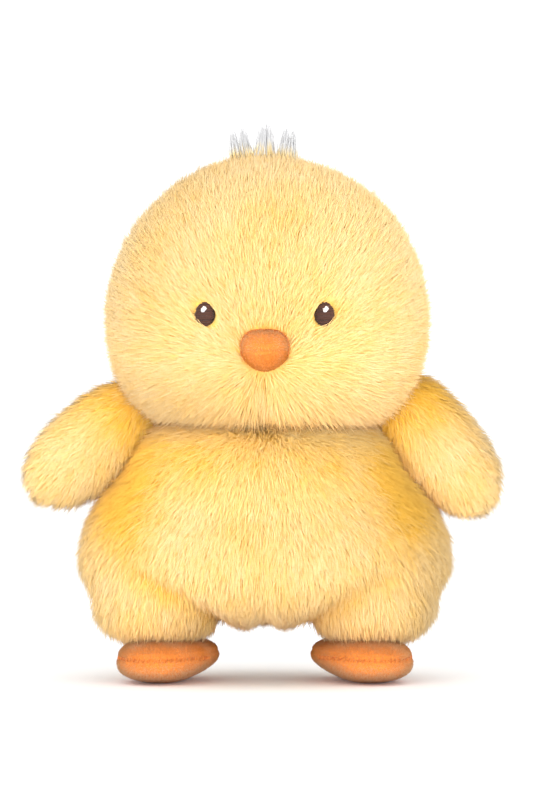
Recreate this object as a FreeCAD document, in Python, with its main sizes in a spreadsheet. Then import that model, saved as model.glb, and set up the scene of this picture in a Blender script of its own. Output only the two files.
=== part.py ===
import FreeCAD, Part
import os

# Stuffed toy chick, standing on two stuffed feet. Millimetres, +Z up, the face towards -Y.
# The origin is on the floor, under the middle of the toy. "left" is the -X side.
#
# Every stuffed limb is an outer form (the pile fabric's outer face) and an inner form one fabric
# thickness smaller. The difference of the two is the fabric, split into its cut panels along the
# seams, and the inner form is the fibre filling.

doc = FreeCAD.newDocument("stuffed_chick")
sheet = doc.addObject("Spreadsheet::Sheet", "Sizes")

SIZES = {
    # fabric and clearances
    "fabric": 2.0,
    "felt": 1.2,
    "joint_gap": 0.4,
    "reach": 300,
    # head: a round ball, flatter underneath than on top
    "head_depth_at": -3,
    "head_level": 162,
    "head_half_width": 68,
    "head_half_depth": 58,
    "head_rise": 71.5,
    "head_drop": 43.5,
    "side_seam_at": 4,
    # neck plug: a ball of filling on the axis that the head turns and nods about
    "neck_level": 118,
    "neck_radius": 12,
    # beak: a stuffed wedge, sewn from an upper and a lower half
    "beak_level": 149.7,
    "beak_half_width": 10.8,
    "beak_half_height": 9.5,
    "beak_reach": 12.5,
    # embroidered eyes
    "eye_spacing": 25.9,
    "eye_level": 165,
    "eye_half_width": 4.5,
    "eye_half_height": 5.2,
    "eye_thread": 0.8,
    "glint_rise": 2.3,
    "glint_radius": 1.3,
    "glint_thread": 0.4,
    # tuft of longer pile on the crown
    "tuft_foot": 228,
    "tuft_top": 252,
    "tuft_half_width": 11,
    "tuft_half_spread": 15,
    "tuft_half_depth": 4,
    # body: a pear of two forms, belly and chest
    "belly_depth_at": 2,
    "belly_level": 54,
    "belly_half_width": 79,
    "belly_half_depth": 60,
    "belly_rise": 64,
    "belly_drop": 29,
    "chest_level": 86,
    "chest_half_width": 61,
    "chest_half_depth": 48,
    "chest_half_height": 36,
    "shoulder_level": 115.5,
    # pouch of pellets low in the body, so that the toy stands
    "pouch_level": 45,
    "pouch_half_width": 40,
    "pouch_half_depth": 32,
    "pouch_half_height": 13,
    "pouch_cloth": 0.8,
    # blank label in the back seam
    "label_level": 44,
    "label_width": 14,
    "label_length": 23,
    "label_thickness": 0.5,
    # legs: short lobes under the belly
    "leg_spacing": 47.5,
    "leg_depth_at": -5,
    "leg_level": 44,
    "leg_half_width": 28,
    "leg_half_depth": 38,
    "leg_half_height": 31,
    "leg_bottom": 23,
    # feet: flat-soled pads that point outwards
    "foot_spacing": 43.5,
    "foot_depth_at": -7,
    "foot_level": 6,
    "foot_half_width": 22,
    "foot_half_length": 38,
    "foot_rise": 15,
    "foot_drop": 12,
    "foot_seam": 11.5,
    "toe_out": 14,
    "ankle_spacing": 45,
    "ankle_depth_at": -5,
    "ankle_level": 19,
    "ankle_radius": 8,
    # wings: flat paddles that hang from the shoulders
    "wing_spacing": 79.5,
    "wing_level": 102.5,
    "wing_half_length": 29,
    "wing_half_breadth": 18,
    "wing_half_depth": 12,
    "wing_droop": 36,
    "wing_seam_back": 1.5,
    "shoulder_spacing": 52.5,
    "wing_root_level": 114,
    "wing_root_radius": 9,
}

for row, (alias, value) in enumerate(SIZES.items(), start=1):
    sheet.set(f"A{row}", alias)
    sheet.set(f"B{row}", str(value))
    sheet.setAlias(f"B{row}", alias)
doc.recompute()


def size(alias):
    return float(sheet.get(alias))


def on_sheet(text):
    """Turn the aliases in an expression into references to the sheet."""
    words = text.replace("(", " ( ").replace(")", " ) ").split()
    return " ".join(f"Sizes.{word}" if word in SIZES else word for word in words)


def bind(solid, **expressions):
    for path, text in expressions.items():
        solid.setExpression(path.replace("_at_", "."), on_sheet(text))


def place(solid, x, y, z):
    for axis, text in zip("xyz", (x, y, z)):
        solid.setExpression(f"Placement.Base.{axis}", on_sheet(text))


def ellipsoid(name, centre, radii, latitudes=(-90, 90)):
    """radii are the expressions of the half-sizes along X, Y and Z."""
    solid = doc.addObject("Part::Ellipsoid", name)
    solid.Angle1, solid.Angle2 = latitudes
    bind(solid, Radius2=radii[0], Radius3=radii[1], Radius1=radii[2])
    place(solid, *centre)
    return solid


def ball(name, centre, radius):
    solid = doc.addObject("Part::Sphere", name)
    bind(solid, Radius=radius)
    place(solid, *centre)
    return solid


def block(name, corner, lengths):
    solid = doc.addObject("Part::Box", name)
    bind(solid, Length=lengths[0], Width=lengths[1], Height=lengths[2])
    place(solid, *corner)
    return solid


def combine(kind, name, base, tool):
    solid = doc.addObject(f"Part::{kind}", name)
    solid.Base, solid.Tool = base, tool
    return solid


def cut(name, base, *tools):
    for number, tool in enumerate(tools, start=1):
        last = number == len(tools)
        base = combine("Cut", name if last else f"{name}_less_{number}", base, tool)
    return base


def fuse(name, base, tool):
    return combine("Fuse", name, base, tool)


def common(name, base, tool):
    return combine("Common", name, base, tool)


def form(name, centre, half_width, half_depth, rise, drop, inset):
    """A soft form of two half ellipsoids that share their widest section."""
    wide = (f"{half_width} - {inset}", f"{half_depth} - {inset}")
    top = ellipsoid(f"{name}_top", centre, (*wide, f"{rise} - {inset}"), (0, 90))
    bottom = ellipsoid(f"{name}_bottom", centre, (*wide, f"{drop} - {inset}"), (-90, 0))
    return fuse(name, top, bottom)


def half_space(name, axis, side, level):
    """A large block on one side of the plane axis = level."""
    corner = ["-1 * reach", "-1 * reach", "-1 * reach"]
    corner["xyz".index(axis)] = level if side > 0 else f"{level} - 2 * reach"
    return block(name, corner, ("2 * reach",) * 3)


SIDES = {"left": -1, "right": 1}
FACES = {"front": -1, "back": 1}
parts = []


def keep(solid, label):
    solid.Label = label
    parts.append(solid)
    return solid


def quarter(label, skin, side, face):
    """The panel of a skin between the middle seam and a side seam."""
    x = "0" if SIDES[side] > 0 else "-2 * reach"
    y = "side_seam_at" if FACES[face] > 0 else "side_seam_at - 2 * reach"
    room = block(f"{label}_room", (x, y, "-1 * reach"), ("2 * reach",) * 3)
    keep(common(label, skin, room), label)


# --- head -------------------------------------------------------------------------------------
HEAD_AT = ("0", "head_depth_at", "head_level")
NECK_AT = ("0", "head_depth_at", "neck_level")


def head_form(name, inset):
    extent = ("head_half_width", "head_half_depth", "head_rise", "head_drop")
    return form(name, HEAD_AT, *extent, inset)


head_outer = head_form("head_outer", "0")
head_inner = head_form("head_inner", "fabric")
neck_socket = ball("neck_socket", NECK_AT, "neck_radius + joint_gap")
head_skin = cut("head_skin", head_outer, head_inner, neck_socket)
for side in SIDES:
    quarter(f"face_panel_{side}", head_skin, side, "front")
    quarter(f"head_back_panel_{side}", head_skin, side, "back")
keep(cut("head_filling", head_inner, neck_socket), "head_filling")
keep(ball("neck_filling", NECK_AT, "neck_radius"), "neck_filling")

# --- beak: its root is the head's own surface ---------------------------------------------------
BEAK_AT = ("0", "head_depth_at - head_half_depth", "beak_level")


def beak_form(name, inset):
    radii = [f"{half} - {inset}" for half in ("beak_half_width", "beak_reach", "beak_half_height")]
    return cut(name, ellipsoid(f"{name}_form", BEAK_AT, radii), head_outer)


beak_outer = beak_form("beak_outer", "0")
beak_inner = beak_form("beak_inner", "felt")
beak_skin = cut("beak_skin", beak_outer, beak_inner)
above_mouth = half_space("above_mouth", "z", 1, "beak_level")
below_mouth = half_space("below_mouth", "z", -1, "beak_level")
keep(common("beak_upper", beak_skin, above_mouth), "beak_upper")
keep(common("beak_lower", beak_skin, below_mouth), "beak_lower")
keep(beak_inner, "beak_filling")

# --- eyes: satin stitch on the face, with a white glint stitched over it ------------------------
thread_face = head_form("thread_face", "(0 - eye_thread)")
glint_face = head_form("glint_face", "(0 - eye_thread - glint_thread)")
thread_layer = cut("thread_layer", thread_face, head_outer)
glint_layer = cut("glint_layer", glint_face, thread_face)
FACING_FRONT = FreeCAD.Rotation(FreeCAD.Vector(1, 0, 0), 90)


def stitched_spot(label, x, level, half_width, half_height, layer):
    outline = doc.addObject("Part::Ellipse", f"{label}_outline")
    outline.Placement.Rotation = FreeCAD.Rotation(FreeCAD.Vector(0, 1, 0), 90).multiply(FACING_FRONT)
    bind(outline, MajorRadius=half_height, MinorRadius=half_width)
    place(outline, x, "0", level)
    punch = doc.addObject("Part::Extrusion", f"{label}_punch")
    punch.Base = outline
    punch.DirMode = "Custom"
    punch.Dir = FreeCAD.Vector(0, -1, 0)
    punch.Solid = True
    bind(punch, LengthFwd="reach")
    keep(common(label, layer, punch), label)


for side, sign in SIDES.items():
    x = f"{sign} * eye_spacing"
    stitched_spot(f"eye_{side}", x, "eye_level", "eye_half_width", "eye_half_height", thread_layer)
    glint_level = "eye_level + glint_rise"
    stitched_spot(f"eye_glint_{side}", x, glint_level, "glint_radius", "glint_radius", glint_layer)

# --- tuft: a fan of longer pile, sewn into the crown --------------------------------------------
def flat_plane(body):
    planes = {plane.Role: plane for plane in body.Origin.OriginFeatures}
    return planes["XY_Plane"]


def oval_sketch(body, name, level, half_width, half_depth):
    """A closed oval on a level plane, drawn with half-sizes read from the sheet."""
    sketch = body.newObject("Sketcher::SketchObject", name)
    sketch.AttachmentSupport = [(flat_plane(body), "")]
    sketch.MapMode = "FlatFace"
    sketch.setExpression("AttachmentOffset.Base.z", on_sheet(level))
    sketch.setExpression("AttachmentOffset.Base.y", on_sheet("head_depth_at"))
    oval = Part.Ellipse(FreeCAD.Vector(0, 0, 0), size(half_width), size(half_depth))
    sketch.addGeometry(oval, False)
    sketch.exposeInternalGeometry(0)
    return sketch


tuft_body = doc.addObject("PartDesign::Body", "tuft_body")
tuft_foot = oval_sketch(tuft_body, "tuft_foot_oval", "tuft_foot", "tuft_half_width", "tuft_half_depth")
tuft_tip = oval_sketch(tuft_body, "tuft_tip_oval", "tuft_top", "tuft_half_spread", "tuft_half_depth")
tuft_loft = tuft_body.newObject("PartDesign::AdditiveLoft", "tuft_loft")
tuft_loft.Profile = tuft_foot
tuft_loft.Sections = [tuft_tip]
keep(cut("crown_tuft", tuft_body, head_outer), "crown_tuft")

# --- body ---------------------------------------------------------------------------------------
BELLY_AT = ("0", "belly_depth_at", "belly_level")
CHEST_AT = ("0", "belly_depth_at", "chest_level")


def body_form(name, inset):
    extent = ("belly_half_width", "belly_half_depth", "belly_rise", "belly_drop")
    belly = form(f"{name}_belly", BELLY_AT, *extent, inset)
    halves = ("chest_half_width", "chest_half_depth", "chest_half_height")
    chest = ellipsoid(f"{name}_chest", CHEST_AT, [f"{half} - {inset}" for half in halves])
    above = half_space(f"{name}_above", "z", 1, f"shoulder_level - {inset}")
    return cut(name, fuse(f"{name}_pear", belly, chest), above)


def shoulder_ball(name, side, radius):
    centre = (f"{SIDES[side]} * shoulder_spacing", "belly_depth_at", "wing_root_level")
    return ball(name, centre, radius)


body_outer = body_form("body_outer", "0")
body_inner = body_form("body_inner", "fabric")
sockets = [neck_socket]
for side in SIDES:
    sockets.append(shoulder_ball(f"shoulder_socket_{side}", side, "wing_root_radius + joint_gap"))
body_skin = cut("body_skin", body_outer, body_inner, *sockets)
for side in SIDES:
    for face in FACES:
        quarter(f"body_{face}_panel_{side}", body_skin, side, face)

POUCH_AT = ("0", "belly_depth_at", "pouch_level")
pouch_halves = ("pouch_half_width", "pouch_half_depth", "pouch_half_height")
pouch_outer = ellipsoid("pouch_outer", POUCH_AT, pouch_halves)
pellets = ellipsoid("pellet_fill", POUCH_AT, [f"{half} - pouch_cloth" for half in pouch_halves])
keep(cut("bead_pouch", pouch_outer, pellets), "bead_pouch")
keep(pellets, "pellet_fill")
keep(cut("body_filling", body_inner, *sockets, pouch_outer), "body_filling")

label_corner = ("0 - label_thickness / 2", "belly_depth_at", "label_level")
label_lengths = ("label_thickness", "belly_half_depth + 0.5 * label_length", "label_width")
label_strip = block("label_strip", label_corner, label_lengths)
keep(cut("care_label", label_strip, body_outer), "care_label")


# --- legs and feet ------------------------------------------------------------------------------
def leg_form(name, side, inset):
    centre = (f"{SIDES[side]} * leg_spacing", "leg_depth_at", "leg_level")
    halves = ("leg_half_width", "leg_half_depth", "leg_half_height")
    lobe = ellipsoid(f"{name}_lobe", centre, [f"{half} - {inset}" for half in halves])
    below = half_space(f"{name}_below", "z", -1, f"leg_bottom + {inset}")
    return cut(name, lobe, body_outer, below)


def foot_form(name, side, inset):
    centre = (f"{SIDES[side]} * foot_spacing", "foot_depth_at", "foot_level")
    extent = ("foot_half_width", "foot_half_length", "foot_rise", "foot_drop")
    pad = form(f"{name}_pad", centre, *extent, inset)
    for half in (pad.Base, pad.Tool):
        half.setExpression("Placement.Rotation.Angle", on_sheet(f"{SIDES[side]} * toe_out"))
    under = half_space(f"{name}_under", "z", -1, inset)
    return cut(name, pad, under)


above_seam = half_space("above_foot_seam", "z", 1, "foot_seam")
below_seam = half_space("below_foot_seam", "z", -1, "foot_seam")
for side, sign in SIDES.items():
    ankle_at = (f"{sign} * ankle_spacing", "ankle_depth_at", "ankle_level")
    ankle = ball(f"ankle_{side}", ankle_at, "ankle_radius")
    ankle_socket = ball(f"ankle_socket_{side}", ankle_at, "ankle_radius + joint_gap")
    leg_inner = leg_form(f"leg_inner_{side}", side, "fabric")
    leg_skin = leg_form(f"leg_outer_{side}", side, "0")
    keep(cut(f"leg_panel_{side}", leg_skin, leg_inner, ankle_socket), f"leg_panel_{side}")
    keep(cut(f"leg_filling_{side}", leg_inner, ankle_socket), f"leg_filling_{side}")

    foot_inner = foot_form(f"foot_inner_{side}", side, "felt")
    foot_outer = foot_form(f"foot_outer_{side}", side, "0")
    foot_skin = cut(f"foot_skin_{side}", foot_outer, foot_inner, ankle)
    keep(common(f"foot_upper_{side}", foot_skin, above_seam), f"foot_upper_{side}")
    keep(common(f"foot_sole_{side}", foot_skin, below_seam), f"foot_sole_{side}")
    keep(fuse(f"foot_filling_{side}", foot_inner, ankle), f"foot_filling_{side}")

# --- wings --------------------------------------------------------------------------------------
wing_half = {}
for face, sign in FACES.items():
    wing_half[face] = half_space(f"wing_{face}", "y", sign, "belly_depth_at + wing_seam_back")


def wing_form(name, side, inset):
    """A paddle whose long axis, the form's own Z, points down and outwards."""
    centre = (f"{SIDES[side]} * wing_spacing", "belly_depth_at", "wing_level")
    halves = ("wing_half_depth", "wing_half_breadth", "wing_half_length")
    paddle = ellipsoid(name, centre, [f"{half} - {inset}" for half in halves])
    turned = FreeCAD.Rotation(FreeCAD.Vector(0, 0, 1), 90)
    tilt = FreeCAD.Rotation(FreeCAD.Vector(0, 1, 0), SIDES[side] * (90 + size("wing_droop")))
    paddle.Placement.Rotation = tilt.multiply(turned)
    return paddle


for side in SIDES:
    root = shoulder_ball(f"wing_root_{side}", side, "wing_root_radius")
    wing_outer = wing_form(f"wing_outer_{side}", side, "0")
    wing_inner = wing_form(f"wing_inner_{side}", side, "fabric")
    wing_skin = cut(f"wing_skin_{side}", wing_outer, wing_inner, root)
    for face, half in wing_half.items():
        label = f"wing_{face}_panel_{side}"
        keep(common(label, wing_skin, half), label)
    keep(fuse(f"wing_filling_{side}", wing_inner, root), f"wing_filling_{side}")

# --- check and write ----------------------------------------------------------------------------
doc.recompute()
for item in doc.Objects:
    if {"Invalid", "Error"} & set(item.State):
        raise RuntimeError(f"{item.Label} failed: {item.State}")
for item in parts:
    if item.Shape.isNull() or not item.Shape.isValid() or not item.Shape.Solids:
        raise RuntimeError(f"{item.Label} has no valid solid")

os.makedirs("parts", exist_ok=True)
for item in parts:
    item.Shape.exportStep(f"parts/{item.Label}.step")
    print(f"{item.Label}: {len(item.Shape.Solids)} solid, {item.Shape.Volume:.1f} mm3")
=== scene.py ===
"""Looks of the stuffed chick: skins of pile fabric over the fillings, velour beak and feet.

Every skin is a rounded form, stuffed by a cloth simulation and then shaped along its seams. The
pile is real geometry: tapered strands that follow a nap field over the skin. Left is -X.
"""

import math
import bmesh
import bpy
import numpy as np
from mathutils import Matrix, Vector
from mathutils.bvhtree import BVHTree


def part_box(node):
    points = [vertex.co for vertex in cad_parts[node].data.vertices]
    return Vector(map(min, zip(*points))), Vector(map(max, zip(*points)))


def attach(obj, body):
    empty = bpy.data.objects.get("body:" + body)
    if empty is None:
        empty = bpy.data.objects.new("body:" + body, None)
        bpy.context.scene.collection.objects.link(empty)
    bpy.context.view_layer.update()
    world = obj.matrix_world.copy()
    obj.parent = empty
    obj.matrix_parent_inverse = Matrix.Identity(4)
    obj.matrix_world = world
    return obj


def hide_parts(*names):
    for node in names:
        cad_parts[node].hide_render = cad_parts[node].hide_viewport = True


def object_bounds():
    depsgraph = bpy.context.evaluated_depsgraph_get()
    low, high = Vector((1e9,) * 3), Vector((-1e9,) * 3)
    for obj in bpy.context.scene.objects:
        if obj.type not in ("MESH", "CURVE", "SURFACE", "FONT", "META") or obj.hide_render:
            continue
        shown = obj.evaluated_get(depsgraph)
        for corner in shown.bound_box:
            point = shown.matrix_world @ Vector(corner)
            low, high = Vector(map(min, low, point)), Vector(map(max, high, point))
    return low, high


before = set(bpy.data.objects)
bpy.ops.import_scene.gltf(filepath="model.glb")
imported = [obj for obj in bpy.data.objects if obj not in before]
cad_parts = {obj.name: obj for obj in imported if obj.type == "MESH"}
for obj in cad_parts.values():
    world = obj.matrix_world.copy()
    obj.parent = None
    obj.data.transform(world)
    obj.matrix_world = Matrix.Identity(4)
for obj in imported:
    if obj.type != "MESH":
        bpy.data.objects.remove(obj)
cad_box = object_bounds()

MM = 0.001
SIDES = {"left": -1, "right": 1}
BAKE_UV = "OFBake"
DOWN = np.array([0.0, 0.0, -1.0])

# --- pile fabric: lengths in metres, angles in degrees over the skin ---
FABRIC = 1.2 * MM
WADDING_DEPTH = 2 * FABRIC
LOCK_SIZE = 2.6 * MM
# the down is dense and straight, the guard hair is sparser, longer and bent over
COATS = {
    "down": {"length": 8.0 * MM, "width": 0.56 * MM, "per_mm2": 3.2, "bent": False,
             "pull": 0.08, "shade": -0.02},
    "guard": {"length": 9.4 * MM, "width": 0.34 * MM, "per_mm2": 0.9, "bent": True,
              "pull": 0.25, "shade": 0.03},
}
SIZE_SPREAD = 0.12
LOCK_SHADE, STRAND_SHADE = 0.07, 0.08
LOCK_SWING, STRAND_SWING, STAND_SPREAD = 10, 8, 5
FOOT_STAND, FOOT_STAND_RANGE = 52, (20, 80)
TIP_STAND, TIP_STAND_RANGE = 24, (4, 60)
ROOT_DEPTH = 0.4 * MM
SAG = 0.06
TRIANGLES_PER_PIECE = 196000
TRIANGLES_STRAIGHT, TRIANGLES_BENT = 4, 10

# --- velour ---
VELOUR_FABRIC = 0.8 * MM
VELOUR_LENGTH, VELOUR_WIDTH, VELOUR_PER_MM2 = 1.1 * MM, 0.34 * MM, 4.5
VELOUR_LEAN_SPREAD, VELOUR_SHADE = 0.35, 0.1

# --- sewing ---
STITCH_HALF_LENGTH, STITCH_RADIUS = 1.1 * MM, 0.24 * MM
STITCH_SINK, STITCH_ARCH = 0.25 * MM, 0.45 * MM

# --- stuffing ---
PRESSURE = 4
SIM_FRAMES = 20
SLACK = 1.6 * MM
PLUSH_VOXEL = 4.5 * MM
PLUSH_SWELL = 2.4 * MM
SEAM_HALF = 2.2 * MM


# === small helpers ===
def span(*nodes):
    """Lowest and highest corner of several CAD nodes, as arrays."""
    boxes = [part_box(node) for node in nodes]
    low = np.min([np.array(box[0]) for box in boxes], axis=0)
    high = np.max([np.array(box[1]) for box in boxes], axis=0)
    return low, high


def unit(vectors):
    return vectors / np.maximum(np.linalg.norm(vectors, axis=-1, keepdims=True), 1e-9)


def ease(values, start, end):
    """0 before start, 1 after end, smooth between."""
    share = np.clip((values - start) / (end - start), 0, 1)
    return share * share * (3 - 2 * share)


def bell(values, width):
    return np.exp(-(values / width) ** 2)


def ripple(points, size, seed):
    """A smooth random field of about -1 to 1, whose waves are about size long."""
    rng = np.random.default_rng(seed)
    total = np.zeros(len(points))
    waves = 9
    for _ in range(waves):
        way = unit(rng.normal(size=3)) * math.tau / (size * rng.uniform(0.7, 1.6))
        total += np.sin(points @ way + rng.uniform(0, math.tau))
    return total / math.sqrt(waves)


def read_vectors(layer, field):
    flat = np.empty(len(layer) * 3, np.float32)
    layer.foreach_get(field, flat)
    return flat.reshape(-1, 3).astype(float)


def points_of(obj):
    return read_vectors(obj.data.vertices, "co")


def normals_of(obj):
    return read_vectors(obj.data.vertex_normals, "vector")


def set_points(obj, points):
    obj.data.vertices.foreach_set("co", points.astype(np.float32).ravel())
    obj.data.update()


def add_object(name, mesh):
    obj = bpy.data.objects.new(name, mesh)
    bpy.context.scene.collection.objects.link(obj)
    return obj


def as_object(name, shape):
    """A new object from a bmesh, which is freed."""
    mesh = bpy.data.meshes.new(name)
    shape.to_mesh(mesh)
    shape.free()
    return add_object(name, mesh)


def settle(obj):
    """Replace the mesh by what its modifiers make of it."""
    evaluated = obj.evaluated_get(bpy.context.evaluated_depsgraph_get())
    mesh = bpy.data.meshes.new_from_object(evaluated)
    obj.modifiers.clear()
    obj.data = mesh
    return obj


def with_modifier(obj, kind, **settings):
    modifier = obj.modifiers.new(kind.lower(), kind)
    for key, value in settings.items():
        setattr(modifier, key, value)
    return settle(obj)


# === materials ===
def new_material(name, roughness, sheen=0.0, specular=0.3):
    made = bpy.data.materials.new(name)
    made.use_nodes = True
    shader = made.node_tree.nodes["Principled BSDF"]
    shader.inputs["Roughness"].default_value = roughness
    shader.inputs["Sheen Weight"].default_value = sheen
    shader.inputs["Sheen Roughness"].default_value = 0.5
    shader.inputs["Specular IOR Level"].default_value = specular
    return made, made.node_tree, shader


def add_node(tree, kind, inputs=(), **settings):
    made = tree.nodes.new(kind)
    for key, value in settings.items():
        setattr(made, key, value)
    for key, value in dict(inputs).items():
        made.inputs[key].default_value = value
    return made


def add_ramp(tree, factor, stops):
    made = tree.nodes.new("ShaderNodeValToRGB")
    ramp = made.color_ramp
    while len(ramp.elements) < len(stops):
        ramp.elements.new(0.5)
    for element, (place, colour) in zip(ramp.elements, stops):
        element.position = place
        element.color = (*colour, 1)
    tree.links.new(factor, made.inputs["Fac"])
    return made.outputs["Color"]


def mix_colours(tree, factor, first, second):
    made = add_node(tree, "ShaderNodeMix", data_type="RGBA")
    tree.links.new(factor, made.inputs["Factor"])
    tree.links.new(first, made.inputs["A"])
    tree.links.new(second, made.inputs["B"])
    return made.outputs[2]


def paint(tree, shader, factor, stops):
    tree.links.new(add_ramp(tree, factor, stops), shader.inputs["Base Color"])


def add_bump(tree, shader, height, strength, distance):
    bump = add_node(tree, "ShaderNodeBump", {"Strength": strength, "Distance": distance})
    tree.links.new(height, bump.inputs["Height"])
    tree.links.new(bump.outputs["Normal"], shader.inputs["Normal"])


def pile_material(name, deep, pale, roughness=0.7, sheen=0.15):
    """V runs along a strand from root to tip, U from a deep-coloured strand to a pale one."""
    made, tree, shader = new_material(name, roughness, sheen, 0.2)
    coordinates = add_node(tree, "ShaderNodeUVMap", uv_map=BAKE_UV)
    split = add_node(tree, "ShaderNodeSeparateXYZ")
    tree.links.new(coordinates.outputs["UV"], split.inputs["Vector"])
    along = split.outputs["Y"]
    ends = add_ramp(tree, along, deep), add_ramp(tree, along, pale)
    colour = mix_colours(tree, split.outputs["X"], *ends)
    tree.links.new(colour, shader.inputs["Base Color"])
    limits = {"To Min": roughness + 0.15, "To Max": roughness - 0.1}
    rough = add_node(tree, "ShaderNodeMapRange", limits)
    tree.links.new(along, rough.inputs["Value"])
    tree.links.new(rough.outputs["Result"], shader.inputs["Roughness"])
    return made


def thread_material(name, deep, pale, roughness):
    """Spun thread, each colour a pair for its start and its end."""
    ends = (0.0, 1.0)
    return pile_material(name, list(zip(ends, deep)), list(zip(ends, pale)), roughness)


def knit_material(name, dark, light, stitch=900.0):
    """The knitted ground that the pile stands in."""
    made, tree, shader = new_material(name, 0.9, 0.1)
    place = add_node(tree, "ShaderNodeTexCoord").outputs["Object"]
    waves = []
    for way in ("X", "Z"):
        wave = add_node(tree, "ShaderNodeTexWave", {"Scale": stitch / 6, "Distortion": 1.5},
                        bands_direction=way)
        tree.links.new(place, wave.inputs["Vector"])
        waves.append(wave.outputs["Fac"])
    both = add_node(tree, "ShaderNodeMath", operation="MULTIPLY")
    for wave, socket in zip(waves, both.inputs):
        tree.links.new(wave, socket)
    patches = add_node(tree, "ShaderNodeTexNoise", {"Scale": 60.0, "Detail": 4.0})
    tree.links.new(place, patches.inputs["Vector"])
    paint(tree, shader, patches.outputs["Fac"], [(0.3, dark), (0.7, light)])
    add_bump(tree, shader, both.outputs["Value"], 0.5, 0.0004)
    return made


def fibre_material(name, dark, light, scale, depth, roughness=0.85):
    """Loose or spun fibre: stretched noise in colour and relief."""
    made, tree, shader = new_material(name, roughness, 0.2)
    place = add_node(tree, "ShaderNodeTexCoord").outputs["Object"]
    along_fibre = {"Scale": (1.0, 1.0, 3.0), "Rotation": (0.4, 0.3, 0.2)}
    stretch = add_node(tree, "ShaderNodeMapping", along_fibre)
    tree.links.new(place, stretch.inputs["Vector"])
    noise = add_node(tree, "ShaderNodeTexNoise", {"Scale": scale, "Detail": 6.0, "Distortion": 1.0})
    tree.links.new(stretch.outputs["Vector"], noise.inputs["Vector"])
    paint(tree, shader, noise.outputs["Fac"], [(0.3, dark), (0.7, light)])
    add_bump(tree, shader, noise.outputs["Fac"], 0.8, depth)
    return made


def bead_material(name, dark, light, beads_per_metre):
    """Packed round pellets, pale in each middle and darker towards the gaps between them: painted
    shade.
    """
    made, tree, shader = new_material(name, 0.35, 0.0, 0.5)
    place = add_node(tree, "ShaderNodeTexCoord").outputs["Object"]
    cells = add_node(tree, "ShaderNodeTexVoronoi", {"Scale": beads_per_metre})
    tree.links.new(place, cells.inputs["Vector"])
    paint(tree, shader, cells.outputs["Distance"], [(0.0, light), (0.7, dark)])
    dome = add_node(tree, "ShaderNodeMath", {0: 1.0}, operation="SUBTRACT")
    tree.links.new(cells.outputs["Distance"], dome.inputs[1])
    add_bump(tree, shader, dome.outputs["Value"], 1.0, 0.001)
    return made


MATERIALS = {
    "yellow_plush": pile_material(
        "plush_pile",
        deep=[(0.0, (1.0, 0.47, 0.025)), (0.45, (1.0, 0.53, 0.05)), (1.0, (1.0, 0.57, 0.07))],
        pale=[(0.0, (1.0, 0.65, 0.22)), (0.4, (1.0, 0.71, 0.31)), (1.0, (1.0, 0.755, 0.43))],
    ),
    "plush_ground": knit_material("plush_ground", (1.0, 0.62, 0.12), (1.0, 0.68, 0.18)),
    "tuft_pile": pile_material(
        "tuft_pile",
        deep=[(0.0, (1.0, 0.62, 0.10)), (0.36, (0.96, 0.68, 0.26)), (0.50, (0.58, 0.58, 0.58)),
              (1.0, (0.70, 0.70, 0.71))],
        pale=[(0.0, (1.0, 0.72, 0.25)), (0.46, (0.98, 0.78, 0.40)), (0.60, (0.76, 0.76, 0.76)),
              (1.0, (0.90, 0.90, 0.91))],
    ),
    "orange_velour": pile_material(
        "velour_pile",
        deep=[(0.0, (0.62, 0.17, 0.02)), (0.5, (0.70, 0.21, 0.028)), (1.0, (0.74, 0.24, 0.034))],
        pale=[(0.0, (0.80, 0.33, 0.09)), (0.5, (0.84, 0.44, 0.20)), (1.0, (0.86, 0.56, 0.36))],
        roughness=0.8, sheen=0.0,
    ),
    "velour_ground": knit_material("velour_ground", (0.66, 0.19, 0.025), (0.76, 0.24, 0.04),
                                   1500.0),
    "seam_thread": thread_material("seam_thread", [(0.45, 0.10, 0.01), (0.55, 0.13, 0.015)],
                                   [(0.66, 0.20, 0.03), (0.74, 0.24, 0.04)], 0.6),
    "eye_thread": thread_material("eye_thread", [(0.030, 0.010, 0.006), (0.045, 0.016, 0.010)],
                                  [(0.075, 0.028, 0.017), (0.11, 0.043, 0.026)], 0.55),
    "glint_thread": thread_material("glint_thread", [(0.72, 0.70, 0.68), (0.82, 0.81, 0.80)],
                                    [(0.90, 0.90, 0.90), (0.97, 0.97, 0.97)], 0.45),
    "fibre_filling": fibre_material("fibre_filling", (0.72, 0.71, 0.68), (0.93, 0.92, 0.90),
                                    90.0, 0.003),
    "pouch_cloth": knit_material("pouch_cloth", (0.74, 0.71, 0.63), (0.86, 0.84, 0.77), 1800.0),
    "pellets": bead_material("pellets", (0.35, 0.36, 0.38), (0.82, 0.84, 0.86), 330.0),
    "label_ribbon": fibre_material("label_ribbon", (0.82, 0.82, 0.81), (0.95, 0.95, 0.94),
                                   1400.0, 0.0002, 0.5),
}


def dress(obj, look):
    obj.data.materials.clear()
    obj.data.materials.append(MATERIALS[look])
    return obj


# === forms ===
def form(name, centre, half_width, half_depth, rise, drop, powers=(2.0, 2.0), detail=5):
    """A closed rounded form, widest at centre, where its section is an ellipse. powers, above and
    below, are 2 for an ellipsoid and more for a squarer shape."""
    shell = bmesh.new()
    bmesh.ops.create_icosphere(shell, subdivisions=detail, radius=1)
    obj = as_object(name, shell)
    way = points_of(obj)
    around = np.hypot(way[:, 0] / half_width, way[:, 1] / half_depth)
    above = way[:, 2] > 0
    height = np.abs(way[:, 2]) / np.where(above, rise, drop)
    power = np.where(above, powers[0], powers[1])
    reach = (around**power + height**power) ** (-1 / power)
    set_points(obj, way * reach[:, None] + np.array(centre))
    return obj


def turn(obj, centre, axis, angle):
    back = Matrix.Translation(-Vector(centre))
    spin = Matrix.Translation(centre) @ Matrix.Rotation(angle, 4, axis) @ back
    obj.data.transform(spin)
    return obj


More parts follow.
